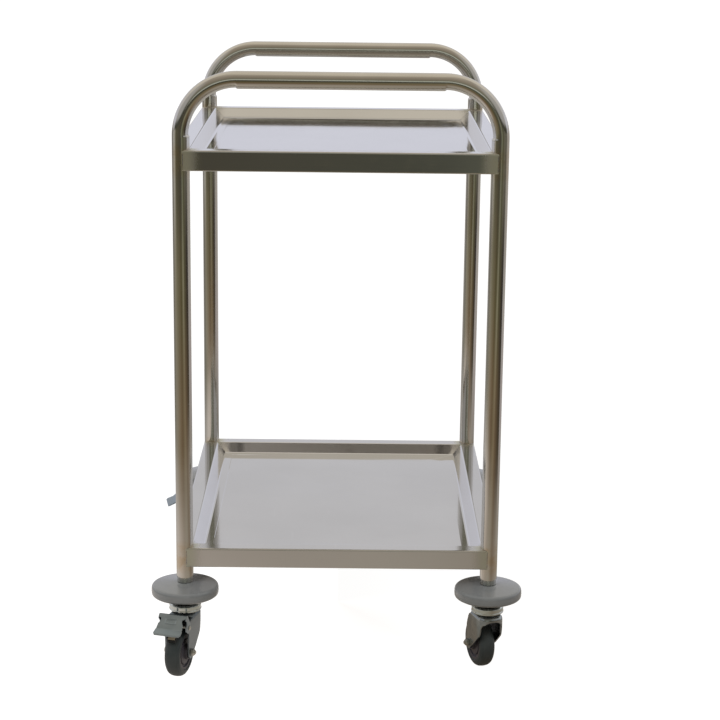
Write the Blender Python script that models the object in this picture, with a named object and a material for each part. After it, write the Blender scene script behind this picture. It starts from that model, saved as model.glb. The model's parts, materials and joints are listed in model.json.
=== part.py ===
"""Two-shelf stainless instrument cart on four swivel casters, the two left-hand ones with foot brakes.

Metres, +Z up. The origin is on the floor, in the middle of the footprint with the casters standing as they do
at rest. +X is to the right and -Y is the front, where one of the two tube handles is.
"""

from math import cos, pi, radians, sin, sqrt

import bmesh
import bpy
from mathutils import Matrix, Vector

MM = 0.001

# Driving dimensions, in millimetres.
CART_WIDTH = 480.0  # over the tubes, along X
CART_DEPTH = 600.0  # over the tubes, along Y
CART_HEIGHT = 899.6
TUBE_RADIUS = 12.7
TUBE_WALL = 1.2
BEND_RADIUS = 80.0
LEG_END = 147.5  # height of the tubes' open lower ends
UPPER_RIM = 788.0
LOWER_RIM = 195.0
APRON_HEIGHT = 29.5
RIM_WIDTH = 24.0
DISH_DEPTH = 15.0
HEM_WIDTH = 10.0
SHEET = 1.0
BUMPER_RADIUS = 50.3
WHEEL_RADIUS = 37.75
WHEEL_WIDTH = 24.0
TRAIL = 26.5  # from the swivel axis to the axle
GAP = 0.3  # between pieces that touch

# The frame's middle, from the origin. It isn't 0 because the casters point different ways.
FRAME_X = 16.0
FRAME_Y = 16.0
LEG_X = CART_WIDTH / 2 - TUBE_RADIUS
LEG_Y = CART_DEPTH / 2 - TUBE_RADIUS
HANDLE_Z = CART_HEIGHT - TUBE_RADIUS

# name: (side along X, side along Y, heading of the wheel in degrees from +X, whether it has a brake)
CASTERS = {
    "front_left": (-1, -1, 254.0, True),
    "front_right": (1, -1, 107.5, False),
    "rear_left": (-1, 1, 190.0, True),
    "rear_right": (1, 1, 45.0, False),
}

# Caster, in millimetres: t is along the heading from the swivel axis, a along the axle, z up from the floor.
PEDAL_PIVOT = (41.0, 82.0)
PIN_RADIUS = 2.0
PIN_HOLE = PIN_RADIUS + GAP
FORK_SHEET = 2.2
FORK_TOP = 94.5
STEM_RADIUS = 6.0
STEM_HOLE = STEM_RADIUS + GAP
BOLT_RADIUS = 3.0
SLEEVE_BORE = BOLT_RADIUS + GAP
SLEEVE_RADIUS = 5.5
HEX_ACROSS = 10.0
LEG_INSIDE = 16.8  # half the width between the fork's legs at the axle
LEG_OUTSIDE = LEG_INSIDE + FORK_SHEET


def clear_scene():
    for obj in list(bpy.data.objects):
        bpy.data.objects.remove(obj, do_unlink=True)


def material(name, colour, metallic, roughness):
    mat = bpy.data.materials.new(name)
    mat.use_nodes = True
    shader = mat.node_tree.nodes["Principled BSDF"]
    shader.inputs["Base Color"].default_value = (*colour, 1.0)
    shader.inputs["Metallic"].default_value = metallic
    shader.inputs["Roughness"].default_value = roughness
    mat.diffuse_color = (*colour, 1.0)
    return mat


def finish(bm, name, mat, parent=None, location=(0, 0, 0), smooth=True):
    """Turns a bmesh in millimetres into a named object in metres."""
    bmesh.ops.remove_doubles(bm, verts=bm.verts[:], dist=1e-4)
    bmesh.ops.recalc_face_normals(bm, faces=bm.faces[:])
    bmesh.ops.scale(bm, vec=(MM, MM, MM), verts=bm.verts[:])
    mesh = bpy.data.meshes.new(name)
    bm.to_mesh(mesh)
    bm.free()
    mesh.materials.append(mat)
    if smooth:
        mesh.shade_smooth()
        mesh.set_sharp_from_angle(angle=radians(35))
    obj = bpy.data.objects.new(name, mesh)
    bpy.context.collection.objects.link(obj)
    obj.parent = parent
    obj.location = Vector(location) * MM
    return obj


def empty(name, location, parent=None, heading=0.0):
    obj = bpy.data.objects.new(name, None)
    bpy.context.collection.objects.link(obj)
    obj.parent = parent
    obj.location = Vector(location) * MM
    obj.rotation_euler = (0, 0, radians(heading))
    return obj


def turned(profile, segments, along="Z"):
    """A bmesh of a closed (radius, height) outline turned about Z, or about Y for pieces on the axle."""
    bm = bmesh.new()
    verts = [bm.verts.new((r, 0, z)) for r, z in profile]
    edges = [bm.edges.new((verts[i], verts[(i + 1) % len(verts)])) for i in range(len(verts))]
    bmesh.ops.spin(bm, geom=verts + edges, cent=(0, 0, 0), axis=(0, 0, 1), angle=2 * pi, steps=segments,
                   use_merge=True)
    if along == "Y":
        bmesh.ops.rotate(bm, verts=bm.verts[:], cent=(0, 0, 0), matrix=Matrix.Rotation(-pi / 2, 3, "X"))
    return bm


def prism(outline, low, high, plane):
    """A bmesh of an outline, drawn in the plane "XZ" or "XY", from low to high along the third axis."""
    bm = bmesh.new()
    if plane == "XZ":
        verts = [bm.verts.new((u, low, v)) for u, v in outline]
        move = (0, high - low, 0)
    else:
        verts = [bm.verts.new((u, v, low)) for u, v in outline]
        move = (0, 0, high - low)
    face = bm.faces.new(verts)
    raised = bmesh.ops.extrude_face_region(bm, geom=[face])["geom"]
    bmesh.ops.translate(bm, vec=move, verts=[v for v in raised if isinstance(v, bmesh.types.BMVert)])
    return bm


def arc(centre, radius, start, end, steps):
    """Points on an arc, with angles in degrees."""
    angles = [radians(start + (end - start) * i / steps) for i in range(steps + 1)]
    return [(centre[0] + radius * cos(a), centre[1] + radius * sin(a)) for a in angles]


def join(bm, other):
    """Adds a second bmesh's shape to the first."""
    mesh = bpy.data.meshes.new("joined")
    bmesh.ops.recalc_face_normals(other, faces=other.faces[:])
    other.to_mesh(mesh)
    other.free()
    bm.from_mesh(mesh)
    bpy.data.meshes.remove(mesh)
    return bm


def boolean(obj, tool, operation):
    """Keeps a Boolean modifier on the object, with its tool left out of the model."""
    tool.hide_render = True
    tool.display_type = "WIRE"
    modifier = obj.modifiers.new(operation.lower(), "BOOLEAN")
    modifier.operation = operation
    modifier.solver = "EXACT"
    modifier.object = tool
    return obj


def cross_hole(name, radius, where, parent, mat, reach=60.0):
    """A cutter for a round hole along the axle direction, at where = (t, z)."""
    outline = [(radius, -reach), (radius, reach), (0, reach), (0, -reach)]
    bm = turned(outline, 12, along="Y")
    return finish(bm, name, mat, parent, (where[0], 0, where[1]))


# Frame.


def frame_tube(name, y, mat):
    """An inverted U of round tube, open at both ends, that is two legs and the handle between them."""
    sides, bend_steps = 12, 7
    turn = LEG_X - BEND_RADIUS
    level = HANDLE_Z - BEND_RADIUS
    stations = [(-LEG_X, LEG_END, 180.0)]
    stations += [(-turn + BEND_RADIUS * cos(radians(a)), level + BEND_RADIUS * sin(radians(a)), a)
                 for a in [180 - 90 * i / bend_steps for i in range(bend_steps + 1)]]
    stations += [(turn + BEND_RADIUS * cos(radians(a)), level + BEND_RADIUS * sin(radians(a)), a)
                 for a in [90 - 90 * i / bend_steps for i in range(bend_steps + 1)]]
    stations.append((LEG_X, LEG_END, 0.0))
    bm = bmesh.new()
    rings = []
    for radius in (TUBE_RADIUS, TUBE_RADIUS - TUBE_WALL):
        for x, z, outward in stations:
            ring = []
            for i in range(sides):
                turned_by = 2 * pi * i / sides
                out = radius * cos(turned_by)
                ring.append(bm.verts.new((x + out * cos(radians(outward)), radius * sin(turned_by),
                                          z + out * sin(radians(outward)))))
            rings.append(ring)
    count = len(stations)
    pairs = [(i, i + 1) for i in range(count - 1)] + [(count + i, count + i + 1) for i in range(count - 1)]
    pairs += [(0, count), (count - 1, 2 * count - 1)]
    for first, second in pairs:
        for i in range(sides):
            j = (i + 1) % sides
            bm.faces.new((rings[first][i], rings[first][j], rings[second][j], rings[second][i]))
    return finish(bm, name, mat, location=(FRAME_X, FRAME_Y + y, 0))


def tray(name, rim, mat):
    """A pressed tray: hemmed apron, flat rim, sloped inner wall and sunken floor, notched round the four legs."""
    slope_fillet = SHEET * (sqrt(2) - 1)
    # (distance in from the outer face, height) of the upper skin from the floor out, then the lower skin back.
    section = [
        (RIM_WIDTH + DISH_DEPTH, rim - DISH_DEPTH),
        (RIM_WIDTH, rim),
        (0.0, rim),
        (0.0, rim - APRON_HEIGHT),
        (HEM_WIDTH, rim - APRON_HEIGHT),
        (HEM_WIDTH, rim - APRON_HEIGHT + SHEET),
        (SHEET, rim - APRON_HEIGHT + SHEET),
        (SHEET, rim - SHEET),
        (RIM_WIDTH - slope_fillet, rim - SHEET),
        (RIM_WIDTH + DISH_DEPTH - slope_fillet, rim - DISH_DEPTH - SHEET),
    ]
    bm = bmesh.new()
    loops = []
    for inset, z in section:
        half_x = CART_WIDTH / 2 - inset
        half_y = CART_DEPTH / 2 - inset
        corners = [(-half_x, -half_y), (half_x, -half_y), (half_x, half_y), (-half_x, half_y)]
        loops.append([bm.verts.new((x, y, z)) for x, y in corners])
    for first, second in zip(loops, loops[1:]):
        for i in range(4):
            j = (i + 1) % 4
            bm.faces.new((first[i], first[j], second[j], second[i]))
    bm.faces.new(loops[0])
    bm.faces.new(loops[-1])
    obj = finish(bm, name, mat, location=(FRAME_X, FRAME_Y, 0), smooth=False)
    return boolean(obj, corner_cutters(f"{name}_notches", rim, mat), "DIFFERENCE")


def corner_cutters(name, rim, mat):
    """Four upright cutters, each a leg's cylinder with the square corner outside it."""
    radius = TUBE_RADIUS + GAP
    past = 2.5
    reach = 20.0
    edge = sqrt(radius**2 - past**2)
    start = -11.1
    outline = [(reach, reach), (reach, -past), (edge, -past)]
    outline += arc((0, 0), radius, start - 10, start - 238, 18)
    outline += [(-past, edge), (-past, reach)]
    bm = bmesh.new()
    for side_x in (-1, 1):
        for side_y in (-1, 1):
            placed = [(side_x * (LEG_X + u), side_y * (LEG_Y + v)) for u, v in outline]
            join(bm, prism(placed, rim - APRON_HEIGHT - 5, rim + 5, "XY"))
    return finish(bm, name, mat, location=(FRAME_X, FRAME_Y, 0))


def stiffener(name, rim, mat):
    """A hat channel spot-welded under a tray's floor, from front to rear."""
    top = rim - DISH_DEPTH - SHEET - GAP
    half, depth, flange, sheet = 16.0, 12.0, 13.0, 1.2
    right = [
        (half + flange, top),
        (half + flange, top - sheet),
        (half + sheet, top - sheet),
        (half + sheet, top - depth),
    ]
    inner = [(half, top - depth + sheet), (half, top)]
    outline = right + [(-x, z) for x, z in reversed(right)] + [(-x, z) for x, z in inner[::-1]] + inner
    half_length = CART_DEPTH / 2 - RIM_WIDTH - DISH_DEPTH - 6.0
    bm = prism(outline, -half_length, half_length, "XZ")
    return finish(bm, name, mat, location=(FRAME_X, FRAME_Y, 0), smooth=False)


# Caster pieces that stay with the leg.


def leg_plug(name, leg, mat):
    """A steel insert in the tube's end, with a collar that shows below the tube."""
    inside = TUBE_RADIUS - TUBE_WALL - GAP
    collar, bottom, top = 11.7, 139.5, 182.0
    outline = [(STEM_HOLE, bottom), (collar, bottom), (collar, LEG_END - GAP), (inside, LEG_END - GAP),
               (inside, top - 2), (inside - 1.5, top), (STEM_HOLE, top)]
    return finish(turned(outline, 12), name, mat, leg)


def bumper(name, leg, mat):
    """A soft disc with a crowned top and a rounded edge."""
    outline = [(STEM_HOLE, 118.0), (40.0, 118.0), (47.0, 119.4), (BUMPER_RADIUS, 125.5),
               (48.3, 132.5), (43.0, 135.6), (13.0, 139.2), (STEM_HOLE, 139.2)]
    return finish(turned(outline, 24), name, mat, leg)


def stem(name, leg, mat):
    """The threaded post, from its head under the fork's roof up into the leg plug."""
    head, head_low, head_high = 10.0, 86.5, 91.8
    outline = [(0, head_low), (head, head_low), (head, head_high), (STEM_RADIUS, head_high),
               (STEM_RADIUS, 173.0), (STEM_RADIUS - 1.2, 174.5), (0, 174.5)]
    return finish(turned(outline, 12), name, mat, leg)


def swivel_head(name, leg, mat):
    """The plated upper race: a cup over the ball ring."""
    outline = [(STEM_HOLE, 105.0), (20.5, 105.0), (22.4, 103.0), (22.4, 96.2), (24.0, 96.2), (24.2, 104.5),
               (22.5, 107.4), (STEM_HOLE, 107.4)]
    return finish(turned(outline, 18), name, mat, leg)


def dust_seal(name, leg, mat):
    """A black ring between the swivel head and the bumper."""
    outline = [(STEM_HOLE, 107.7), (20.4, 107.7), (21.2, 109.0), (21.2, 117.7), (STEM_HOLE, 117.7)]
    return finish(turned(outline, 18), name, mat, leg)


# Caster pieces that swivel.


def ball_ring(name, swivel, mat):
    """The caged ring of balls, as one ring, between the fork's roof and the upper race."""
    outline = [(16.6, 94.9), (20.6, 94.9), (21.9, 97.5), (21.9, 102.0), (19.8, 104.6), (16.6, 104.6)]
    return finish(turned(outline, 16), name, mat, swivel)


def fork(name, swivel, braked, mat):
    """One pressed sheet: a round roof and two legs that lean back to the axle, with horns for a brake."""
    outer = [(LEG_OUTSIDE, 24.0), (LEG_OUTSIDE, 50.0), (20.0, 82.0), (18.3, 90.5), (13.2, FORK_TOP)]
    inner = [(a - FORK_SHEET, z) for a, z in outer[:3]] + [(16.2, 89.0), (12.2, FORK_TOP - FORK_SHEET)]
    outline = [(-a, z) for a, z in outer] + outer[::-1] + inner + [(-a, z) for a, z in inner[::-1]]
    back, front = -28.0, 60.0
    bent = prism(outline, back, front, "XZ")
    bmesh.ops.rotate(bent, verts=bent.verts[:], cent=(0, 0, 0), matrix=Matrix.Rotation(-pi / 2, 3, "Z"))
    obj = finish(bent, name, mat, swivel, smooth=False)

    foot = arc((TRAIL, WHEEL_RADIUS), 9.5, 205, 350, 5)
    if braked:
        rise = [(36.0, 62.0)] + arc(PEDAL_PIVOT, 6.3, 290, 440, 5) + [(34.0, 91.0)]
    else:
        rise = [(34.5, 66.0), (30.0, 86.0), (27.5, 91.0)]
    back_edge = [(-18.5, 91.0), (-18.5, 74.0), (-15.5, 62.0), (-9.0, 53.0), (4.0, 43.5)]
    side = foot + rise + [(27.0, 100.0), (-27.0, 100.0), (-27.0, 91.0)] + back_edge
    boolean(obj, finish(prism(side, -40, 40, "XZ"), f"{name}_side", mat, swivel), "INTERSECT")

    roof = 26.4
    crown = [(0, 10.0), (70.0, 10.0), (70.0, 87.5), (30.5, 87.5), (roof, 92.0), (roof - 2.5, 96.0), (0, 96.0)]
    boolean(obj, finish(turned(crown, 18), f"{name}_crown", mat, swivel), "INTERSECT")

    king = [(0, 80.0), (STEM_HOLE, 80.0), (STEM_HOLE, 100.0), (0, 100.0)]
    boolean(obj, finish(turned(king, 12), f"{name}_king_hole", mat, swivel), "DIFFERENCE")
    boolean(obj, cross_hole(f"{name}_axle_hole", SLEEVE_BORE, (TRAIL, WHEEL_RADIUS), swivel, mat), "DIFFERENCE")
    if braked:
        boolean(obj, cross_hole(f"{name}_pin_hole", PIN_HOLE, PEDAL_PIVOT, swivel, mat), "DIFFERENCE")
    return obj


def hexagon(across):
    corner = across / sqrt(3)
    return arc((0, 0), corner, 0, 300, 5)


def axle_bolt(name, swivel, mat):
    """A hexagon bolt through both legs and the sleeve, its head on the -a side."""
    under_head = -LEG_OUTSIDE - GAP
    outline = [(0, under_head - 1.2), (BOLT_RADIUS, under_head - 1.2), (BOLT_RADIUS, 26.0), (0, 26.0)]
    shank = turned(outline, 12, along="Y")
    obj = finish(shank, name, mat, swivel, (TRAIL, 0, WHEEL_RADIUS))
    head = finish(prism(hexagon(HEX_ACROSS), under_head - 4.0, under_head, "XZ"), f"{name}_head", mat, swivel,
                  (TRAIL, 0, WHEEL_RADIUS), smooth=False)
    return boolean(obj, head, "UNION")


def axle_nut(name, swivel, mat):
    face = LEG_OUTSIDE + GAP
    bm = prism(hexagon(HEX_ACROSS), face, face + 5.2, "XZ")
    obj = finish(bm, name, mat, swivel, (TRAIL, 0, WHEEL_RADIUS), smooth=False)
    bore = cross_hole(f"{name}_bore", SLEEVE_BORE, (TRAIL, WHEEL_RADIUS), swivel, mat)
    return boolean(obj, bore, "DIFFERENCE")


def axle_sleeve(name, swivel, mat):
    half = LEG_INSIDE - GAP
    outline = [(SLEEVE_BORE, -half), (SLEEVE_RADIUS, -half), (SLEEVE_RADIUS, half), (SLEEVE_BORE, half)]
    return finish(turned(outline, 12, along="Y"), name, mat, swivel, (TRAIL, 0, WHEEL_RADIUS))


# Wheel.


def hub(name, axle, mat):
    bore, rim, boss, half = SLEEVE_RADIUS + GAP, 27.0, 11.5, 11.0
    end = LEG_INSIDE - 1.3
    side = [(boss, end), (boss + 1.0, half - 2.0), (rim - 4.0, half - 2.0), (rim - 3.0, half), (rim, half)]
    outline = [(bore, end)] + side + [(r, -y) for r, y in side[::-1]] + [(bore, -end)]
    return finish(turned(outline, 18, along="Y"), name, mat, axle)


def tyre(name, axle, mat):
    inner, half = 27.0 + GAP, WHEEL_WIDTH / 2
    side = [(inner, half - 1.2), (30.0, half), (34.0, half - 0.6), (36.8, 7.5), (WHEEL_RADIUS, 2.5)]
    outline = side + [(r, -y) for r, y in side[::-1]]
    return finish(turned(outline, 24, along="Y"), name, mat, axle)


# Brake.


def brake_pedal(name, pivot, mat):
    """A pressed plate: a steep panel, a fold, a toe lip, and two ears that turn on the pin."""
    pivot_t, pivot_z = PEDAL_PIVOT
    sheet = 1.8
    # (t, z, half width) down the plate's upper face, from its top edge to its toe.
    stations = [(45.5, 101.0, 22.0), (49.5, 104.5, 22.0), (53.5, 101.0, 22.0), (55.5, 99.2, 16.9),
                (58.5, 96.6, 16.6), (63.0, 92.6, 19.4), (69.0, 87.7, 20.0), (79.0, 83.4, 21.3), (81.0, 82.0, 19.0)]
    bm = bmesh.new()
    rings = []
    for i, (t, z, half) in enumerate(stations):
        before, after = stations[max(i - 1, 0)], stations[min(i + 1, len(stations) - 1)]
        along = Vector((after[0] - before[0], after[1] - before[1])).normalized()
        down = Vector((along.y, -along.x)) * sheet
        t, z = t - pivot_t, z - pivot_z
        rings.append([bm.verts.new(p) for p in ((t, -half, z), (t, half, z), (t + down.x, half, z + down.y),
                                                (t + down.x, -half, z + down.y))])
    for first, second in zip(rings, rings[1:]):
        for i in range(4):
            j = (i + 1) % 4
            bm.faces.new((first[i], first[j], second[j], second[i]))
    bm.faces.new(rings[0])
    bm.faces.new(rings[-1])
    obj = finish(bm, name, mat, pivot)
    ear = arc((0, 0), 6.2, 170, 270, 4) + [(7.5, -6.4), (11.8, -2.5), (11.8, 3.0), (8.6, 8.0), (10.0, 12.0)]
    ear += [(13.4, 15.4), (12.4, 18.2), (8.5, 21.6), (4.6, 18.4), (-5.2, 5.0)]
    for side, mark in ((-1, "a"), (1, "b")):
        low, high = sorted((side * 20.3, side * 21.9))
        ear_body = finish(prism(ear, low, high, "XZ"), f"{name}_ear_{mark}", mat, pivot, smooth=False)
        boolean(obj, ear_body, "UNION")
    return boolean(obj, cross_hole(f"{name}_hole", PIN_HOLE, (0, 0), pivot, mat), "DIFFERENCE")


def pedal_pin(name, swivel, mat):
    head, end = 3.6, 23.6
    outline = [(0, -end), (head, -end), (head, -end + 1.4), (PIN_RADIUS, -end + 1.4), (PIN_RADIUS, end - 1.4),
               (head, end - 1.4), (head, end), (0, end)]
    return finish(turned(outline, 10, along="Y"), name, mat, swivel, (PEDAL_PIVOT[0], 0, PEDAL_PIVOT[1]))


def brake_shoe(name, pivot, mat):
    """An arm on the pedal's pin with a curved pad just off the tyre."""
    clear, half_width = 1.9, 6.5
    wheel = (TRAIL - PEDAL_PIVOT[0], WHEEL_RADIUS - PEDAL_PIVOT[1])
    pad = arc(wheel, WHEEL_RADIUS + clear, 54, 38, 3)
    back = arc(wheel, WHEEL_RADIUS + clear + 4.5, 38, 52, 3)
    eye = arc((0, 0), 4.3, 10, 250, 6)
    bm = prism(pad + back + eye, -half_width, half_width, "XZ")
    obj = finish(bm, name, mat, pivot, smooth=False)
    return boolean(obj, cross_hole(f"{name}_hole", PIN_HOLE, (0, 0), pivot, mat), "DIFFERENCE")


def caster(name, side_x, side_y, heading, braked, mats):
    leg = empty(f"{name}_leg", (FRAME_X + side_x * LEG_X, FRAME_Y + side_y * LEG_Y, 0))
    leg_plug(f"{name}_leg_plug", leg, mats["zinc"])
    bumper(f"{name}_bumper", leg, mats["grey_vinyl"])
    stem(f"{name}_stem", leg, mats["zinc"])
    swivel_head(f"{name}_swivel_head", leg, mats["chrome"])
    dust_seal(f"{name}_dust_seal", leg, mats["black_plastic"])

    swivel = empty(f"{name}_swivel", (0, 0, 0), leg, heading)
    ball_ring(f"{name}_ball_ring", swivel, mats["zinc"])
    fork(f"{name}_fork", swivel, braked, mats["fork_zinc"])
    axle_bolt(f"{name}_axle_bolt", swivel, mats["zinc"])
    axle_nut(f"{name}_axle_nut", swivel, mats["zinc"])
    axle_sleeve(f"{name}_axle_sleeve", swivel, mats["zinc"])

    axle = empty(f"{name}_axle", (TRAIL, 0, WHEEL_RADIUS), swivel)
    hub(f"{name}_hub", axle, mats["hub_plastic"])
    tyre(f"{name}_tyre", axle, mats["grey_rubber"])

    if braked:
        pedal_pin(f"{name}_pedal_pin", swivel, mats["zinc"])
        pivot = empty(f"{name}_pedal_pivot", (PEDAL_PIVOT[0], 0, PEDAL_PIVOT[1]), swivel)
        brake_pedal(f"{name}_brake_pedal", pivot, mats["fork_zinc"])
        brake_shoe(f"{name}_brake_shoe", pivot, mats["black_plastic"])


def main():
    clear_scene()
    mats = {
        "stainless": material("stainless", (0.62, 0.60, 0.56), 1.0, 0.25),
        "tray_steel": material("tray_steel", (0.66, 0.66, 0.66), 1.0, 0.16),
        "chrome": material("chrome", (0.72, 0.72, 0.70), 1.0, 0.12),
        "zinc": material("zinc", (0.52, 0.53, 0.50), 1.0, 0.32),
        "fork_zinc": material("fork_zinc", (0.36, 0.40, 0.42), 1.0, 0.38),
        "grey_vinyl": material("grey_vinyl", (0.20, 0.22, 0.22), 0.0, 0.38),
        "grey_rubber": material("grey_rubber", (0.035, 0.042, 0.042), 0.0, 0.55),
        "hub_plastic": material("hub_plastic", (0.06, 0.055, 0.075), 0.0, 0.45),
        "black_plastic": material("black_plastic", (0.015, 0.015, 0.016), 0.0, 0.5),
    }
    frame_tube("front_frame_tube", -LEG_Y, mats["stainless"])
    frame_tube("rear_frame_tube", LEG_Y, mats["stainless"])
    tray("upper_tray", UPPER_RIM, mats["tray_steel"])
    tray("lower_tray", LOWER_RIM, mats["tray_steel"])
    stiffener("upper_tray_stiffener", UPPER_RIM, mats["stainless"])
    stiffener("lower_tray_stiffener", LOWER_RIM, mats["stainless"])
    for name, (side_x, side_y, heading, braked) in CASTERS.items():
        caster(name, side_x, side_y, heading, braked, mats)


main()
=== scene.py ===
"""Looks of a two-shelf stainless instrument cart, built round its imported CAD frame.

The scene is in metres. Shapes are drawn in millimetres, each in its piece's own frame. A caster piece has
X along its heading, Y along its axle and Z up.
"""

import json
from math import atan2, cos, pi, radians, sin, sqrt, tan

import bmesh
import bpy
from mathutils import Matrix, Vector, noise


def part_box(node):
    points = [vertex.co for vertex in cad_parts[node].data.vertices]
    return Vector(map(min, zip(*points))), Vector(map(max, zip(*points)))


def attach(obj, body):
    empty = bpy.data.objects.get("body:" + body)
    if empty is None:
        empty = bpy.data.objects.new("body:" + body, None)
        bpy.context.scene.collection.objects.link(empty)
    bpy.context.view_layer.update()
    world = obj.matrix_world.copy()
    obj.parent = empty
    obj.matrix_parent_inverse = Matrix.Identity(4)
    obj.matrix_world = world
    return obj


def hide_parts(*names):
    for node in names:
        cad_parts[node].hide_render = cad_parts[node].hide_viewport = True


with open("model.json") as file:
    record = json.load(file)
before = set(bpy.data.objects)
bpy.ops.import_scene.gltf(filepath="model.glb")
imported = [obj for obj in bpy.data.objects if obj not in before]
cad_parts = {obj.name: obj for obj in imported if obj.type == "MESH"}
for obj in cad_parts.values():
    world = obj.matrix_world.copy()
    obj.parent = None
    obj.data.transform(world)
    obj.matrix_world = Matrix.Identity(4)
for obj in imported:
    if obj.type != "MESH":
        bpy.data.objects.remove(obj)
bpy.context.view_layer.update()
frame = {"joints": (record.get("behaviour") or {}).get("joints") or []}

MM = 0.001


def box_mm(node):
    low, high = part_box(node)
    return low / MM, high / MM


# Sizes read from the frame, in millimetres.
FRONT_LOW, FRONT_HIGH = box_mm("front_frame_tube")
REAR_HIGH = box_mm("rear_frame_tube")[1]
TUBE_RADIUS = (FRONT_HIGH.y - FRONT_LOW.y) / 2
LEG_END = FRONT_LOW.z
HANDLE_Z = FRONT_HIGH.z - TUBE_RADIUS
CENTRE_X = (FRONT_LOW.x + FRONT_HIGH.x) / 2
CENTRE_Y = (FRONT_LOW.y + REAR_HIGH.y) / 2
LEG_X = (FRONT_HIGH.x - FRONT_LOW.x) / 2 - TUBE_RADIUS
LEG_Y = (REAR_HIGH.y - FRONT_LOW.y) / 2 - TUBE_RADIUS
HALF_WIDTH = LEG_X + TUBE_RADIUS
HALF_DEPTH = LEG_Y + TUBE_RADIUS
TRAY_LOW, TRAY_HIGH = box_mm("upper_tray")
UPPER_RIM = TRAY_HIGH.z
APRON_HEIGHT = TRAY_HIGH.z - TRAY_LOW.z
LOWER_RIM = box_mm("lower_tray")[1].z

# Sizes that no box gives, in millimetres.
TUBE_WALL = 1.2
BEND_RADIUS = 80
BEND_FLATTENING = 0.14  # how far the inside of a bend is pressed in, as a share of the radius
RIM_WIDTH = 24
DISH_DEPTH = 15
HEM_WIDTH = 10
SHEET = 1
TRAIL = 26.5
WHEEL_RADIUS = 37.75
PEDAL_PIVOT = (41, 82)
PIN_RADIUS = 2
PIN_HOLE = 2.3
FORK_SHEET = 2.2
FORK_TOP = 94.5
FORK_RADIUS = 26.4
LEG_INSIDE = 16.8  # half the width between the fork's legs at the axle
LEG_OUTSIDE = LEG_INSIDE + FORK_SHEET
BUMPER_RADIUS = 50.3
STEM_RADIUS = 6
STEM_HOLE = 6.3
SLEEVE_BORE = 3.3
BOLT_RADIUS = 3

CORNERS = ("front_left", "front_right", "rear_left", "rear_right")
BRAKED = ("front_left", "rear_left")
JOINTS = {joint["name"]: joint for joint in frame["joints"]}


# Outlines.


def rounded(corners, steps=5, closed=True):
    """Points of an outline whose (u, v, radius) corners are rounded off by arcs."""
    points = []
    count = len(corners)
    for i, (u, v, radius) in enumerate(corners):
        here = Vector((u, v))
        if radius == 0 or (not closed and i in (0, count - 1)):
            points.append((u, v))
            continue
        back = (Vector(corners[i - 1][:2]) - here).normalized()
        ahead = (Vector(corners[(i + 1) % count][:2]) - here).normalized()
        half = back.angle(ahead) / 2
        centre = here + (back + ahead).normalized() * (radius / sin(half))
        first = here + back * (radius / tan(half)) - centre
        last = here + ahead * (radius / tan(half)) - centre
        start = atan2(first.y, first.x)
        sweep = atan2(first.x * last.y - first.y * last.x, first.dot(last))
        for k in range(steps + 1):
            angle = start + sweep * k / steps
            points.append((centre.x + radius * cos(angle), centre.y + radius * sin(angle)))
    return points


def held(points, near=0.5, over=3.0):
    """An open outline with a point near each end of its long straight runs, so that those shade flat."""
    kept = [points[0]]
    for first, second in zip(points, points[1:]):
        run = Vector(second) - Vector(first)
        if run.length > over:
            step = run.normalized() * near
            kept += [tuple(Vector(first) + step), tuple(Vector(second) - step)]
        kept.append(second)
    return kept


def arc(centre, radius, start, end, steps):
    """Points on an arc, with angles in degrees."""
    angles = [radians(start + (end - start) * i / steps) for i in range(steps + 1)]
    return [(centre[0] + radius * cos(a), centre[1] + radius * sin(a)) for a in angles]


def mirrored(corners):
    return [(-u, *rest) for u, *rest in corners]


def flipped(corners):
    """The same corners from the last to the first, mirrored across the second axis."""
    return [(u, -v, *rest) for u, v, *rest in corners[::-1]]


def smooth_step(value, low, high):
    share = min(max((value - low) / (high - low), 0.0), 1.0)
    return share * share * (3 - 2 * share)


# Meshes. Each function gives a bmesh in millimetres.


def lathe(outline, segments, along="Z", vary=None):
    """A closed (radius, height) outline turned about Z or Y. vary(radius, height, angle) moves its points."""
    bm = bmesh.new()
    rings = []
    for i in range(segments):
        angle = 2 * pi * i / segments
        ring = []
        for radius, height in outline:
            if vary:
                radius, height = vary(radius, height, angle)
            ring.append(bm.verts.new((radius * cos(angle), radius * sin(angle), height)))
        rings.append(ring)
    count = len(outline)
    for i in range(segments):
        this, after = rings[i], rings[(i + 1) % segments]
        for k in range(count):
            m = (k + 1) % count
            if outline[k][0] > 0 or outline[m][0] > 0:
                bm.faces.new((this[k], after[k], after[m], this[m]))
    if along == "Y":
        bmesh.ops.rotate(bm, verts=bm.verts[:], cent=(0, 0, 0), matrix=Matrix.Rotation(-pi / 2, 3, "X"))
    return bm


def prism(outline, low, high, plane="XZ"):
    """An outline drawn in the plane "XZ", "YZ" or "XY", from low to high along the third axis."""
    place = {
        "XZ": lambda u, v, w: (u, w, v),
        "YZ": lambda u, v, w: (w, u, v),
        "XY": lambda u, v, w: (u, v, w),
    }[plane]
    bm = bmesh.new()
    ends = [[bm.verts.new(place(u, v, w)) for u, v in outline] for w in (low, high)]
    bm.faces.new(ends[0])
    bm.faces.new(ends[1])
    count = len(outline)
    for i in range(count):
        j = (i + 1) % count
        bm.faces.new((ends[0][i], ends[0][j], ends[1][j], ends[1][i]))
    return bm


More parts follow.
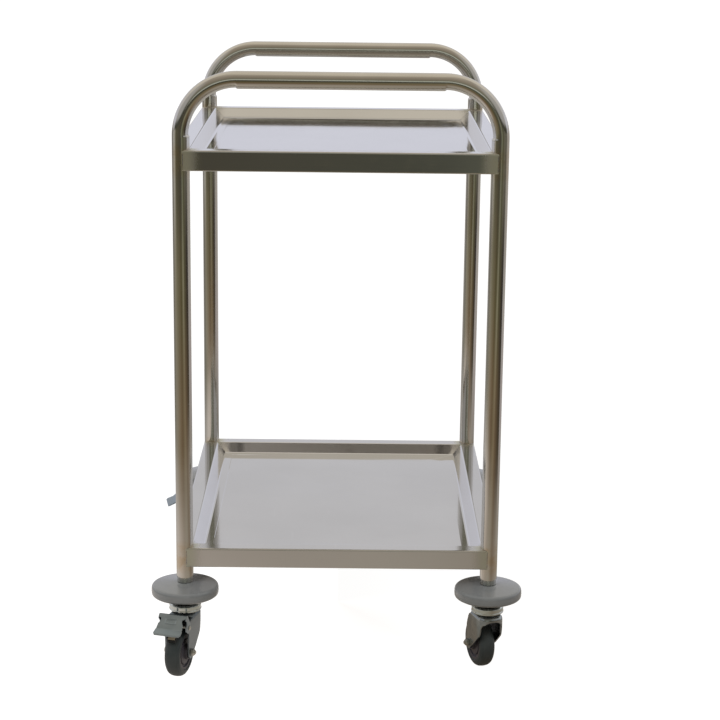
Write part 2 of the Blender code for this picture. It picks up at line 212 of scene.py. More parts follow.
def swept(path, radius_at, sides=12):
    """A closed bead along a path of points, whose radius is radius_at(share of the path)."""
    bm = bmesh.new()
    rings = []
    count = len(path)
    points = [Vector(p) for p in path]
    for i, point in enumerate(points):
        ahead = (points[min(i + 1, count - 1)] - points[max(i - 1, 0)]).normalized()
        side = ahead.cross(Vector((0, 0, 1)))
        if side.length < 0.1:
            side = ahead.cross(Vector((1, 0, 0)))
        side.normalize()
        lift = side.cross(ahead)
        radius = radius_at(i / (count - 1))
        angles = [2 * pi * k / sides for k in range(sides)]
        rings.append([bm.verts.new(point + (side * cos(a) + lift * sin(a)) * radius) for a in angles])
    for this, after in zip(rings, rings[1:]):
        for k in range(sides):
            m = (k + 1) % sides
            bm.faces.new((this[k], this[m], after[m], after[k]))
    bm.faces.new(rings[0])
    bm.faces.new(rings[-1])
    return bm


def clean(bm):
    bmesh.ops.remove_doubles(bm, verts=bm.verts[:], dist=1e-4)
    bmesh.ops.dissolve_degenerate(bm, edges=bm.edges[:], dist=1e-4)
    bmesh.ops.recalc_face_normals(bm, faces=bm.faces[:])
    return bm


def mesh_of(bm, name):
    mesh = bpy.data.meshes.new(name)
    clean(bm).to_mesh(mesh)
    bm.free()
    return mesh


def joined(*shapes):
    """One bmesh that holds several separate closed shapes."""
    whole = bmesh.new()
    for shape in shapes:
        mesh = mesh_of(shape, "joined")
        whole.from_mesh(mesh)
        bpy.data.meshes.remove(mesh)
    return whole


def modified(bm, kind, **settings):
    """A bmesh after one modifier of this kind, with these settings."""
    obj = temporary(bm)
    modifier = obj.modifiers.new("shaping", kind)
    for name, value in settings.items():
        setattr(modifier, name, value)
    graph = bpy.context.evaluated_depsgraph_get()
    mesh = bpy.data.meshes.new_from_object(obj.evaluated_get(graph))
    bpy.data.objects.remove(obj, do_unlink=True)
    shaped = bmesh.new()
    shaped.from_mesh(mesh)
    bpy.data.meshes.remove(mesh)
    return shaped


def temporary(bm):
    obj = bpy.data.objects.new("temporary", mesh_of(bm, "temporary"))
    bpy.context.scene.collection.objects.link(obj)
    return obj


def carved(bm, cuts):
    """A bmesh with (operation, tool) Booleans done to it in turn."""
    for operation, tool in cuts:
        other = temporary(tool)
        bm = modified(bm, "BOOLEAN", operation=operation, solver="EXACT", object=other)
        bpy.data.objects.remove(other, do_unlink=True)
    return bm


def drill(radius, t=0.0, z=0.0, segments=28):
    """A cut by a long rod along Y."""
    rod = lathe([(0, -60), (radius, -60), (radius, 60), (0, 60)], segments, along="Y")
    bmesh.ops.translate(rod, vec=(t, 0, z), verts=rod.verts[:])
    return "DIFFERENCE", rod


def softened(bm, width, angle=35):
    """A bmesh with its sharp edges rounded by a small bevel."""
    return modified(bm, "BEVEL", width=width, segments=2, limit_method="ANGLE", angle_limit=radians(angle),
                    use_clamp_overlap=True)


def threaded(pitch, depth, low, high, least):
    """Turns a lathe's points between two heights into a thread, where their radius is least or more."""
    def shaped(radius, height, angle):
        if not low < height <= high or radius < least:
            return radius, height
        turned_by = (height / pitch - angle / (2 * pi)) % 1
        return radius - depth * (1 - abs(2 * turned_by - 1)), height
    return shaped


def piece(name, bm, mat, body, stands_for=(), place=Matrix()):
    """Makes the named piece from a bmesh, turns it into place, and ties it to the CAD."""
    bmesh.ops.scale(clean(bm), vec=(MM, MM, MM), verts=bm.verts[:])
    mesh = bpy.data.meshes.new(name)
    bm.to_mesh(mesh)
    bm.free()
    mesh.transform(place.to_3x3().to_4x4())
    mesh.materials.append(mat)
    mesh.shade_smooth()
    mesh.set_sharp_from_angle(angle=radians(38))
    obj = bpy.data.objects.new(name, mesh)
    bpy.context.scene.collection.objects.link(obj)
    flats = obj.modifiers.new("flats", "WEIGHTED_NORMAL")
    flats.weight = 100
    flats.keep_sharp = True
    obj.matrix_world = Matrix.Translation(place.translation)
    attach(obj, body)
    if stands_for:
        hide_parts(*stands_for)
    return obj


# Materials.


class Nodes:
    """Short calls for one node tree. Places are texture coordinates, in metres for a piece's material."""

    def __init__(self, tree, coordinates="Object"):
        self.tree = tree
        texture = tree.nodes.new("ShaderNodeTexCoord")
        self.place, self.facing = texture.outputs[coordinates], texture.outputs["Normal"]

    def node(self, kind, inputs, **settings):
        """Adds a node, sets its settings, and fills its inputs with links or constants."""
        node = self.tree.nodes.new(kind)
        for name, value in settings.items():
            setattr(node, name, value)
        for key, value in inputs.items():
            if isinstance(value, bpy.types.NodeSocket):
                self.tree.links.new(value, node.inputs[key])
            else:
                node.inputs[key].default_value = value
        return node

    def math(self, operation, first, second=0.0):
        return self.node("ShaderNodeMath", {0: first, 1: second}, operation=operation).outputs[0]

    def times(self, first, second):
        return self.math("MULTIPLY", first, second)

    def hypot(self, first, second):
        squares = [self.math("POWER", side, 2.0) for side in (first, second)]
        return self.math("SQRT", self.math("ADD", *squares))

    def plus(self, value, *extras):
        """A value with share times each extra added to it, from (extra, share) pairs."""
        for extra, share in extras:
            value = self.math("ADD", value, self.times(extra, share))
        return value

    def axis(self, letter, vector=None):
        return self.node("ShaderNodeSeparateXYZ", {0: vector or self.place}).outputs[letter]

    def off(self, letter, middle):
        """The distance along one axis from a place in millimetres."""
        return self.math("ABSOLUTE", self.math("SUBTRACT", self.axis(letter), middle * MM))

    def stretched(self, x, y, z):
        scaled = self.node("ShaderNodeVectorMath", {0: self.place, 1: (x, y, z)}, operation="MULTIPLY")
        return scaled.outputs[0]

    def noise(self, scale, detail=3.0, roughness=0.5, vector=None):
        inputs = {"Vector": vector or self.place, "Scale": scale, "Detail": detail, "Roughness": roughness}
        return self.node("ShaderNodeTexNoise", inputs).outputs[0]

    def spots(self, scale, vector=None):
        return self.node("ShaderNodeTexVoronoi", {"Vector": vector or self.place, "Scale": scale}).outputs[0]

    def span(self, value, low, high, to_low=0.0, to_high=1.0):
        """Takes a value from one range to another, held at its ends and eased between them."""
        inputs = {0: value, 1: low, 2: high, 3: to_low, 4: to_high}
        return self.node("ShaderNodeMapRange", inputs, interpolation_type="SMOOTHSTEP").outputs[0]

    def blend(self, share, first, second):
        """A colour that goes from the first to the second as share goes from 0 to 1."""
        first, second = [(*c, 1.0) if isinstance(c, tuple) else c for c in (first, second)]
        return self.node("ShaderNodeMix", {0: share, 6: first, 7: second}, data_type="RGBA").outputs[2]

    def tinted(self, colour, share, most, other):
        """A colour that goes towards another, by most of the way where share is 1."""
        return self.blend(self.times(share, most), colour, other)

    def ramp(self, value, stops):
        """A colour ramp over (position, colour) stops, whose positions may run past 1."""
        full = max(1.0, stops[-1][0])
        node = self.node("ShaderNodeValToRGB", {0: self.math("DIVIDE", value, full)})
        elements = node.color_ramp.elements
        while len(elements) < len(stops):
            elements.new(0.5)
        for element, (position, colour) in zip(elements, stops):
            element.position = position / full
            element.color = (*colour, 1.0)
        return node.outputs[0]

    def bump(self, height, distance, under=None):
        inputs = {"Height": height, "Distance": distance, "Strength": 1.0}
        if under:
            inputs["Normal"] = under
        return self.node("ShaderNodeBump", inputs).outputs[0]


class Look(Nodes):
    """One procedural material. Places are in the piece's own frame."""

    def __init__(self, name, metallic=0.0):
        self.mat = bpy.data.materials.new(name)
        self.mat.use_nodes = True
        super().__init__(self.mat.node_tree)
        self.shader = self.tree.nodes["Principled BSDF"]
        self.fixed("Metallic", metallic)

    def fixed(self, name, value):
        self.shader.inputs[name].default_value = value

    def done(self, colour, roughness, normal=None):
        self.tree.links.new(colour, self.shader.inputs["Base Color"])
        self.tree.links.new(roughness, self.shader.inputs["Roughness"])
        if normal:
            self.tree.links.new(normal, self.shader.inputs["Normal"])
        return self.mat


def along_tube(look):
    """How far along its U-shaped tube a point lies, in metres, so that polishing lines run round the tube."""
    turn, level = (LEG_X - BEND_RADIUS) * MM, (HANDLE_Z - BEND_RADIUS) * MM
    across, height = look.off("X", CENTRE_X), look.axis("Z")
    past_side = look.math("MAXIMUM", look.math("SUBTRACT", across, turn), 0)
    past_level = look.math("MAXIMUM", look.math("SUBTRACT", height, level), 0)
    bend = look.times(look.math("ARCTAN2", past_level, past_side), BEND_RADIUS * MM)
    bar = look.math("MAXIMUM", look.math("SUBTRACT", turn, across), 0)
    return look.math("ADD", look.math("ADD", look.math("MINIMUM", height, level), bend), bar)


def near_welds(look, reach):
    """1 at the trays' welded ends on the legs, falling to 0 at reach millimetres away up or down the leg."""
    half = APRON_HEIGHT / 2
    return look.math("MAXIMUM", *[look.span(look.off("Z", rim - half), (half + reach) * MM, (half - 2) * MM)
                                  for rim in (UPPER_RIM, LOWER_RIM)])


def tube_steel():
    look = Look("satin_polished_tube", metallic=1)
    rings = look.node("ShaderNodeCombineXYZ", {0: along_tube(look), 1: look.times(look.axis("Y"), 0.12)})
    lines = look.noise(2600, 4, 0.6, rings.outputs[0])
    broad = look.noise(9, 3, 0.55)
    smears = look.noise(55, 4, 0.6)
    scuffs = look.span(look.noise(420, 3, 0.7, look.stretched(1, 1, 0.08)), 0.66, 0.74)
    near_weld_tint = look.times(near_welds(look, 14), look.span(smears, 0.35, 0.65, 0.15, 0.6))
    colour = look.blend(look.span(broad, 0.3, 0.7), (0.63, 0.612, 0.575), (0.69, 0.675, 0.64))
    colour = look.tinted(colour, scuffs, 0.35, (0.78, 0.77, 0.74))
    colour = look.blend(near_weld_tint, colour, (0.60, 0.47, 0.30))
    rough = look.plus(look.span(lines, 0.3, 0.7, 0.07, 0.125), (look.span(smears, 0.45, 0.75), 0.05),
                      (near_weld_tint, 0.16), (scuffs, 0.08))
    look.fixed("Anisotropic", 0.25)
    return look.done(colour, rough, look.bump(broad, 0.00025, look.bump(lines, 0.000004)))


def from_legs(look):
    """Distance in metres from the nearest leg's axis, seen from above."""
    return look.hypot(look.math("SUBTRACT", look.off("X", CENTRE_X), LEG_X * MM),
                      look.math("SUBTRACT", look.off("Y", CENTRE_Y), LEG_Y * MM))


def tray_steel():
    """Bright sheet, ground dull by the welds, with a painted greenish reflection round the legs, and left
    with its mill finish underneath.
    """
    look = Look("bright_tray_sheet", metallic=1)
    grain = look.noise(900, 4, 0.6, look.stretched(0.02, 1, 1))
    smears = look.noise(30, 4, 0.65)
    specks = look.span(look.spots(260), 0.10, 0.02)
    scratches = look.span(look.noise(300, 2, 0.5, look.stretched(1, 0.03, 1)), 0.70, 0.76)
    ground = look.span(from_legs(look), 0.037, 0.011)
    # Painted reflection: a light greenish tint, full within 13 mm of a leg's axis and gone by 27 mm, stands
    # in for the bright reflection at the aprons' ends.
    near_weld_tint = look.span(from_legs(look), 0.027, 0.013)
    mill_finish = look.span(look.axis("Z", look.facing), -0.5, -0.9)
    colour = look.blend(look.span(look.noise(5), 0.3, 0.7), (0.655, 0.655, 0.66), (0.695, 0.695, 0.70))
    colour = look.tinted(colour, scratches, 0.2, (0.80, 0.80, 0.80))
    # Painted reflection: the sheet is tinted light greenish round the legs.
    colour = look.tinted(colour, near_weld_tint, 0.5, (0.66, 0.68, 0.52))
    colour = look.blend(mill_finish, colour, (0.78, 0.77, 0.75))
    rough = look.plus(look.span(grain, 0.3, 0.7, 0.05, 0.09), (look.span(smears, 0.5, 0.8), 0.05),
                      (ground, 0.46), (specks, 0.12), (scratches, 0.05), (mill_finish, 0.4))
    return look.done(colour, rough, look.bump(grain, 0.000003))


def weld_steel():
    look = Look("ground_weld", metallic=1)
    mottled = look.noise(700, 4, 0.6)
    tint = look.noise(120, 2, 0.5)
    colour = look.blend(look.span(tint, 0.35, 0.65), (0.56, 0.50, 0.40), (0.40, 0.40, 0.44))
    rough = look.span(mottled, 0.3, 0.7, 0.2, 0.42)
    return look.done(colour, rough, look.bump(mottled, 0.00008))


def plated(name, low, high, rough_low, rough_high, blotch=60, grain=0.00003):
    """A plated metal whose colour drifts between two tones, with small pits and handling marks."""
    look = Look(name, metallic=1)
    drift = look.noise(blotch, 4, 0.6)
    fine = look.noise(1500, 3, 0.6)
    pits = look.span(look.spots(900), 0.14, 0.04)
    marks = look.span(look.noise(220, 4, 0.7), 0.62, 0.72)
    colour = look.blend(look.span(drift, 0.3, 0.7), low, high)
    colour = look.tinted(colour, pits, 0.35, tuple(0.5 * c for c in low))
    rough = look.plus(look.span(drift, 0.25, 0.75, rough_low, rough_high), (marks, 0.1))
    return look.done(colour, rough, look.bump(fine, grain))


def vinyl():
    look = Look("grey_vinyl_bumper")
    cloud = look.noise(28, 4, 0.6)
    dust = look.span(look.noise(160, 5, 0.7), 0.55, 0.72)
    edge = look.span(look.hypot(look.axis("X"), look.axis("Y")), 0.0485, 0.0502)
    rubbed = look.times(edge, look.span(look.noise(60, 5, 0.7), 0.45, 0.75))
    colour = look.blend(look.span(cloud, 0.3, 0.7), (0.205, 0.223, 0.241), (0.232, 0.250, 0.268))
    colour = look.tinted(colour, dust, 0.06, (0.38, 0.39, 0.39))
    colour = look.tinted(colour, rubbed, 0.3, (0.16, 0.17, 0.18))
    rough = look.plus(look.span(cloud, 0.3, 0.7, 0.15, 0.20), (rubbed, 0.15), (dust, 0.08))
    look.fixed("Specular IOR Level", 0.6)
    look.fixed("Coat Weight", 0.5)
    look.fixed("Coat Roughness", 0.12)
    return look.done(colour, rough, look.bump(look.noise(1400, 3, 0.6), 0.00002))


def rubber():
    look = Look("dark_grey_tyre")
    fine = look.noise(1100, 4, 0.65)
    cloud = look.noise(45, 4, 0.6)
    grit = look.noise(500, 2, 0.5)
    out = look.node("ShaderNodeVectorMath", {0: look.place}, operation="LENGTH").outputs["Value"]
    tread = look.times(look.span(out, 0.0362, 0.0376), look.span(cloud, 0.35, 0.6, 0.3, 1))
    colour = look.blend(look.span(cloud, 0.3, 0.7), (0.027, 0.038, 0.042), (0.038, 0.050, 0.055))
    colour = look.tinted(colour, tread, 0.35, (0.060, 0.066, 0.064))
    rough = look.plus(look.span(fine, 0.3, 0.7, 0.40, 0.50), (tread, 0.12))
    return look.done(colour, rough, look.bump(fine, 0.00004, look.bump(grit, 0.00002)))


def plastic(name, low, high, rough_low, rough_high):
    look = Look(name)
    cloud = look.noise(70, 4, 0.6)
    fine = look.noise(1300, 3, 0.6)
    dust = look.span(look.noise(240, 5, 0.7), 0.58, 0.74)
    colour = look.blend(look.span(cloud, 0.3, 0.7), low, high)
    colour = look.tinted(colour, dust, 0.2, tuple(min(1, c + 0.12) for c in high))
    rough = look.plus(look.span(fine, 0.3, 0.7, rough_low, rough_high), (dust, 0.1))
    return look.done(colour, rough, look.bump(fine, 0.00003))


MATS = {
    "tube": tube_steel(),
    "tray": tray_steel(),
    "weld": weld_steel(),
    "bright": plated("bright_plate", (0.60, 0.65, 0.64), (0.68, 0.73, 0.72), 0.08, 0.15, grain=0.000006),
    "zinc": plated("zinc_plate", (0.50, 0.51, 0.48), (0.58, 0.58, 0.54), 0.22, 0.34),
    "pedal": plated("grey_zinc_plate", (0.27, 0.33, 0.375), (0.33, 0.39, 0.435), 0.28, 0.40),
    "fork": plated("dark_zinc_plate", (0.195, 0.235, 0.265), (0.25, 0.295, 0.325), 0.28, 0.40),
    "bright_fork": plated("bright_fork_plate", (0.30, 0.345, 0.38), (0.40, 0.435, 0.455), 0.13, 0.21,
                          grain=0.00001),
    "oxide": plated("black_oxide", (0.030, 0.031, 0.034), (0.045, 0.046, 0.049), 0.38, 0.5),
    "vinyl": vinyl(),
    "rubber": rubber(),
    "hub": plastic("grey_hub_plastic", (0.045, 0.042, 0.055), (0.062, 0.058, 0.074), 0.36, 0.48),
    "black": plastic("black_plastic", (0.012, 0.012, 0.013), (0.022, 0.022, 0.024), 0.40, 0.55),
    "beige": plastic("beige_wear_pad", (0.34, 0.29, 0.20), (0.42, 0.36, 0.26), 0.55, 0.70),
}


# Frame.


def flattening(angle_in):
    """How fully a bend is flattened, from its angle past the straight, in degrees."""
    return smooth_step(angle_in, -0.6, 1.6)


def tube_stations():
    """(x, z, outward angle, flattening) along the U, as close together as the bends need."""
    turn, level = LEG_X - BEND_RADIUS, HANDLE_Z - BEND_RADIUS
    bend_steps, leg_steps, bar_steps = 36, 24, 12
    edge = [-0.9, -0.3, 0.3, 0.9, 1.5, 2.2]
    left = []
    for i in range(leg_steps + 1):
        left.append((-LEG_X, LEG_END + (level - 2 - LEG_END) * i / leg_steps, 180, 0))
    inside = [90 * i / bend_steps for i in range(2, bend_steps - 1)]
    for a in edge + inside + [90 - a for a in edge[::-1]]:
        flat = flattening(min(a, 90 - a))
        outward = 180 - min(max(a, 0), 90)
        x = -turn + BEND_RADIUS * cos(radians(outward))
        z = level + BEND_RADIUS * sin(radians(outward))
        if a < 0:
            z += radians(a) * BEND_RADIUS
        if a > 90:
            x += radians(a - 90) * BEND_RADIUS
        left.append((x, z, outward, flat))
    for i in range(1, bar_steps):
        left.append((-(turn - 2) * (1 - i / bar_steps), HANDLE_Z, 90, 0))
    right = [(-x, z, 180 - outward, flat) for x, z, outward, flat in reversed(left)]
    return left + [(0, HANDLE_Z, 90, 0)] + right


def frame_tube(y):
    """The open-ended U of tube, a little flattened on the inside of its bends."""
    sides = 56
    bm = bmesh.new()
    rings = []
    for radius in (TUBE_RADIUS, TUBE_RADIUS - TUBE_WALL):
        for x, z, outward, flat in tube_stations():
            ring = []
            for i in range(sides):
                out = radius * cos(2 * pi * i / sides)
                if out < 0:
                    out *= 1 - BEND_FLATTENING * flat
                ring.append(bm.verts.new((CENTRE_X + x + out * cos(radians(outward)),
                                          y + radius * sin(2 * pi * i / sides),
                                          z + out * sin(radians(outward)))))
            rings.append(ring)
    count = len(rings) // 2
    pairs = [(i, i + 1) for i in range(count - 1)] + [(count + i, count + i + 1) for i in range(count - 1)]
    pairs += [(0, count), (count - 1, 2 * count - 1)]
    for first, second in pairs:
        for i in range(sides):
            j = (i + 1) % sides
            bm.faces.new((rings[first][i], rings[first][j], rings[second][j], rings[second][i]))
    return bm


def unevenness(x, y, z):
    """Slow unevenness of a pressed sheet, from -1 to 1."""
    return noise.noise(Vector((x, y, z)) * 0.0075 + Vector((3.1, 7.7, 1.3)))


def side_shares(length, parts, seam):
    """Shares along one side of a tray, with a point close to each mitre so that the seam shows."""
    close = seam / length
    return [0, close] + [i / parts for i in range(1, parts)] + [1 - close]


def tray_skin(rim):
    """The tray's upper skin: sunken floor, sloped walls, rim, apron and hem, with a seam at each mitre."""
    floor = rim - DISH_DEPTH
    section = held(rounded([(RIM_WIDTH + DISH_DEPTH + 12, floor, 0), (RIM_WIDTH + DISH_DEPTH, floor, 4.5),
                            (RIM_WIDTH, rim, 3.2), (0, rim, 2.4), (0, rim - APRON_HEIGHT, 1.4),
                            (HEM_WIDTH, rim - APRON_HEIGHT, 0)], 5, closed=False))
    seam_width, seam_depth, waves, sag = 0.45, 0.35, 0.16, 0.5
    across, deep = 36, 44
    bm = bmesh.new()
    loops = []
    for inset, z in section:
        half_x, half_y = HALF_WIDTH - inset, HALF_DEPTH - inset
        corners = [Vector((-half_x, -half_y)), Vector((half_x, -half_y)),
                   Vector((half_x, half_y)), Vector((-half_x, half_y))]
        loop = []
        for i in range(4):
            start, end = corners[i], corners[(i + 1) % 4]
            side = end - start
            inward = Vector((-side.y, side.x)).normalized()
            for share in side_shares(side.length, (across, deep)[i % 2], seam_width):
                point = start + side * share
                height = z
                if inset < 1 and z < rim - 2.6:
                    ends = min(1, 14 * share * (1 - share))
                    point += inward * waves * (1 + unevenness(point.x, point.y, z)) * ends
                if share == 0 and inset > 3:
                    height -= seam_depth
                loop.append(bm.verts.new((CENTRE_X + point.x, CENTRE_Y + point.y, height)))
        loops.append(loop)
    count = len(loops[0])
    for first, second in zip(loops, loops[1:]):
        for i in range(count):
            j = (i + 1) % count
            bm.faces.new((first[i], second[i], second[j], first[j]))
    fill_floor(bm, loops[0], across + 1, deep + 1, sag)
    return bm


def fill_floor(bm, loop, across, deep, sag):
    """Fills the innermost loop with a grid whose middle sags a little."""
    front = loop[0:across + 1]
    right = loop[across:across + deep + 1]
    rear = loop[across + deep:2 * across + deep + 1]
    left = loop[2 * across + deep:] + [loop[0]]
    rows = [front]
    for j in range(1, deep):
        start, end = left[deep - j], right[j]
        row = [start]
        for i in range(1, across):
            x = front[i].co.x
            y = start.co.y + (end.co.y - start.co.y) * i / across
            u, v = (x - CENTRE_X) / HALF_WIDTH, (y - CENTRE_Y) / HALF_DEPTH
            bowl = max(0, 1 - 1.45 * u * u) * max(0, 1 - 1.35 * v * v)
            z = front[0].co.z - sag * bowl * (0.7 + 0.6 * unevenness(x, y, front[0].co.z))
            row.append(bm.verts.new((x, y, min(z, front[1].co.z))))
        rows.append(row + [end])
    rows.append(rear[::-1])
    for low, high in zip(rows, rows[1:]):
        for i in range(across):
            bm.faces.new((low[i], low[i + 1], high[i + 1], high[i]))


def leg_notch(rim):
    """Four upright cutters, each a leg's cylinder with the square corner outside it."""
    radius, past, reach = TUBE_RADIUS + 0.05, 2.5, 20
    edge = sqrt(radius**2 - past**2)
    outline = [(reach, reach), (reach, -past), (edge, -past)] + arc((0, 0), radius, -21.1, -249.1, 48)
    outline += [(-past, edge), (-past, reach)]
    tools = []
    for side_x in (-1, 1):
        for side_y in (-1, 1):
            placed = [(CENTRE_X + side_x * (LEG_X + u), CENTRE_Y + side_y * (LEG_Y + v)) for u, v in outline]
            tools.append(prism(placed, rim - APRON_HEIGHT - 5, rim + 5, "XY"))
    return joined(*tools)


def tray(rim):
    sheet = modified(tray_skin(rim), "SOLIDIFY", thickness=SHEET, offset=-1, use_even_offset=True)
    return carved(sheet, [("DIFFERENCE", leg_notch(rim))])


def weld_ripple(radius, ripples, phase):
    """A bead's radius along its length: rippled, uneven, and tapered at both ends."""
    def at(share):
        taper = sqrt(max(0.05, min(1, 9 * share, 9 * (1 - share))))
        uneven = noise.noise(Vector((share * 9, phase, radius)))
        return radius * taper * (1 + 0.10 * sin(ripples * share + phase) + 0.16 * uneven)
    return at


def tray_welds(rim):
    """A bead round the inner side of each leg on the rim, and a ground one down each end of two aprons."""
    beads = []
    for n, (side_x, side_y) in enumerate(((-1, -1), (1, -1), (-1, 1), (1, 1))):
        x, y = CENTRE_X + side_x * LEG_X, CENTRE_Y + side_y * LEG_Y
        ring = arc((0, 0), TUBE_RADIUS + 0.35, 112, 338, 44)
        path = [(x + side_x * u, y + side_y * v, rim - 0.15) for u, v in ring]
        beads.append(swept(path, weld_ripple(0.95, 95, n)))
        for turn_by, (u, v) in enumerate(((-3.4, TUBE_RADIUS - 0.62), (TUBE_RADIUS - 0.62, -3.4))):
            low, high = rim - APRON_HEIGHT + 0.8, rim - 1.6
            path = [(x + side_x * u, y + side_y * v, low + (high - low) * k / 24) for k in range(25)]
            beads.append(swept(path, weld_ripple(0.85, 40, n + 5 * turn_by)))
    return joined(*beads)


def stiffener(rim):
    """A hat channel with rounded folds and its row of spot welds."""
    low, high = box_mm("upper_tray_stiffener" if rim == UPPER_RIM else "lower_tray_stiffener")
    top, depth, half, flange, sheet = high.z, high.z - low.z, 16, 13, 1.2
    right = [(half + flange, top, 0.3), (half + flange, top - sheet, 0.3), (half + sheet, top - sheet, 0.8),
             (half + sheet, top - depth, 2)]
    inner = [(half, top - depth + sheet, 0.8), (half, top, 2)]
    outline = rounded(right + mirrored(right[::-1]) + mirrored(inner[::-1]) + inner, 4)
    body = prism([(CENTRE_X + x, z) for x, z in outline], low.y, high.y, "XZ")
    dimples = []
    pitch = (high.y - low.y) / 9
    for side in (-1, 1):
        for i in range(9):
            spot = lathe([(0, top - sheet - 0.35), (2.2, top - sheet - 0.25), (2.6, top - sheet + 0.2),
                          (0, top - sheet + 0.2)], 20)
            place = (CENTRE_X + side * (half + flange / 2), low.y + pitch * (i + 0.5), 0)
            bmesh.ops.translate(spot, vec=place, verts=spot.verts[:])
            dimples.append(spot)
    return joined(body, *dimples)


def build_frame():
    for end, y in (("front", CENTRE_Y - LEG_Y), ("rear", CENTRE_Y + LEG_Y)):
        piece(f"{end}_tube_polished", frame_tube(y), MATS["tube"], "cart_frame",
              [f"{end}_frame_tube"])
    for level, rim in (("upper", UPPER_RIM), ("lower", LOWER_RIM)):
        piece(f"{level}_tray_sheet", tray(rim), MATS["tray"], "cart_frame", [f"{level}_tray"])
        piece(f"{level}_tray_welds", tray_welds(rim), MATS["weld"], "cart_frame")
        piece(f"{level}_stiffener_folded", stiffener(rim), MATS["tray"], "cart_frame",
              [f"{level}_tray_stiffener"])


# Caster pieces that stay with the leg.


def leg_plug():
    """The turned insert, whose chamfered collar shows under the tube."""
    collar, bottom, top = 11.7, 139.5, 182
    inside = TUBE_RADIUS - TUBE_WALL - 0.05
    outline = [(STEM_HOLE, bottom, 0.4), (collar - 0.2, bottom, 0.5), (collar, LEG_END - 0.3, 0.5),
               (inside, LEG_END - 0.3, 0), (inside, top - 2, 0.5), (inside - 1.5, top, 0.3),
               (STEM_HOLE, top, 0.4)]
    return lathe(rounded(outline, 4), 56)


def bumper():
    """A moulded disc: crowned top, rounded edge with a parting line, and a ribbed hollow underneath."""
    hollow_depth, hollow_in, hollow_out, ribs, rib_half = 5, 15, 37, 8, 1.3
    edge = BUMPER_RADIUS
    line = [(edge - 0.15, 126.5, 0), (edge, 126.2, 0), (edge, 125.8, 0), (edge - 0.15, 125.5, 0)]
    top = [(STEM_HOLE + 5.6, 139.2, 0.8), (13.4, 139, 3), (49.2, 134.9, 4.2), (edge - 0.15, 130, 3)]
    base = [(edge - 0.3, 120.6, 4), (45.5, 118.1, 2.5), (hollow_out + 2.2, 118, 0.6)]
    outline = rounded(top + line + base, 6, closed=False)
    under = [(hollow_out, 118.4), (hollow_out - 1, 118 + hollow_depth), (hollow_in + 1, 118 + hollow_depth),
             (hollow_in, 118.4), (hollow_in - 1, 118), (STEM_HOLE, 118), (STEM_HOLE, 138.4),
             (STEM_HOLE + 5.6, 138.4)]

    def ribbed(radius, height, angle):
        deep = height > 119 and hollow_in - 0.5 < radius < hollow_out + 0.5 and height < 118.5 + hollow_depth
        if not deep:
            return radius, height
        turned_by = (angle * ribs / (2 * pi)) % 1
        away = min(turned_by, 1 - turned_by) * 2 * pi * radius / ribs
        return radius, 118.4 + (height - 118.4) * smooth_step(away, rib_half, rib_half + 1)

    return lathe(outline + under, 144, vary=ribbed)


def stem():
    """The post with its head, thread and turned end."""
    head, head_low, head_high, pitch, depth = 10, 86.5, 91.8, 1.5, 0.45
    outline = rounded([(0, head_low, 0), (head, head_low, 1.2), (head, head_high, 0.6),
                       (STEM_RADIUS, head_high, 0.3), (STEM_RADIUS, 142, 0)], 4, closed=False)
    outline += [(STEM_RADIUS, 142 + pitch / 6 * i) for i in range(1, 122)]
    outline += [(STEM_RADIUS - 1.2, 174), (0, 174.5)]
    return lathe(outline, 40, vary=threaded(pitch, depth, 142, 172.5, 4))


def swivel_head():
    """The pressed upper race, with a rolled lip and a bead round its crown."""
    outline = rounded([(STEM_HOLE, 105, 0.3), (20, 105, 1), (22.3, 103, 0.8), (22.3, 96.4, 0.4),
                       (24.1, 96.2, 0.8), (24.3, 98.3, 0.9), (23.7, 99.4, 0.5), (24, 104.6, 2.2),
                       (22, 107.3, 1.6), (STEM_HOLE, 107.4, 0.3)], 6)
    return lathe(outline, 80)


def dust_seal():
    """A moulded ring with two wiping lips."""
    outline = rounded([(STEM_HOLE, 107.7, 0.2), (20.4, 107.7, 0.5), (21.2, 109, 0.5), (21.2, 110.4, 0.4),
                       (20.2, 111.2, 0.4), (20.2, 113.6, 0.4), (21.2, 114.4, 0.4), (21.2, 117.7, 0.4),
                       (STEM_HOLE, 117.7, 0.2)], 4)
    return lathe(outline, 72)


def ball_ring():
    """Sixteen balls on a thin cage between the two races."""
    balls = 16
    cage = lathe(rounded([(17, 99.2, 0.2), (21.4, 99.2, 0.2), (21.4, 100.3, 0.2), (17, 100.3, 0.2)], 3), 64)
    shapes = [cage]
    for i in range(balls):
        angle = 2 * pi * i / balls
        ball = bmesh.new()
        bmesh.ops.create_uvsphere(ball, u_segments=16, v_segments=12, radius=2.7)
        bmesh.ops.translate(ball, vec=(19.2 * cos(angle), 19.2 * sin(angle), 99.75), verts=ball.verts[:])
        shapes.append(ball)
    return joined(*shapes)


# Caster pieces that swivel.


def turned_corners(bm):
    """Bends the fork's sides inwards behind the stem."""
    for step in range(10):
        geometry = bm.verts[:] + bm.edges[:] + bm.faces[:]
        bmesh.ops.bisect_plane(bm, geom=geometry, plane_co=(-6 - 1.5 * step, 0, 0), plane_no=(1, 0, 0))
    for vert in bm.verts:
        vert.co.y *= (1 - min(0.97, max(0, -vert.co.x) / FORK_RADIUS) ** 3) ** (1 / 3)
    return bm


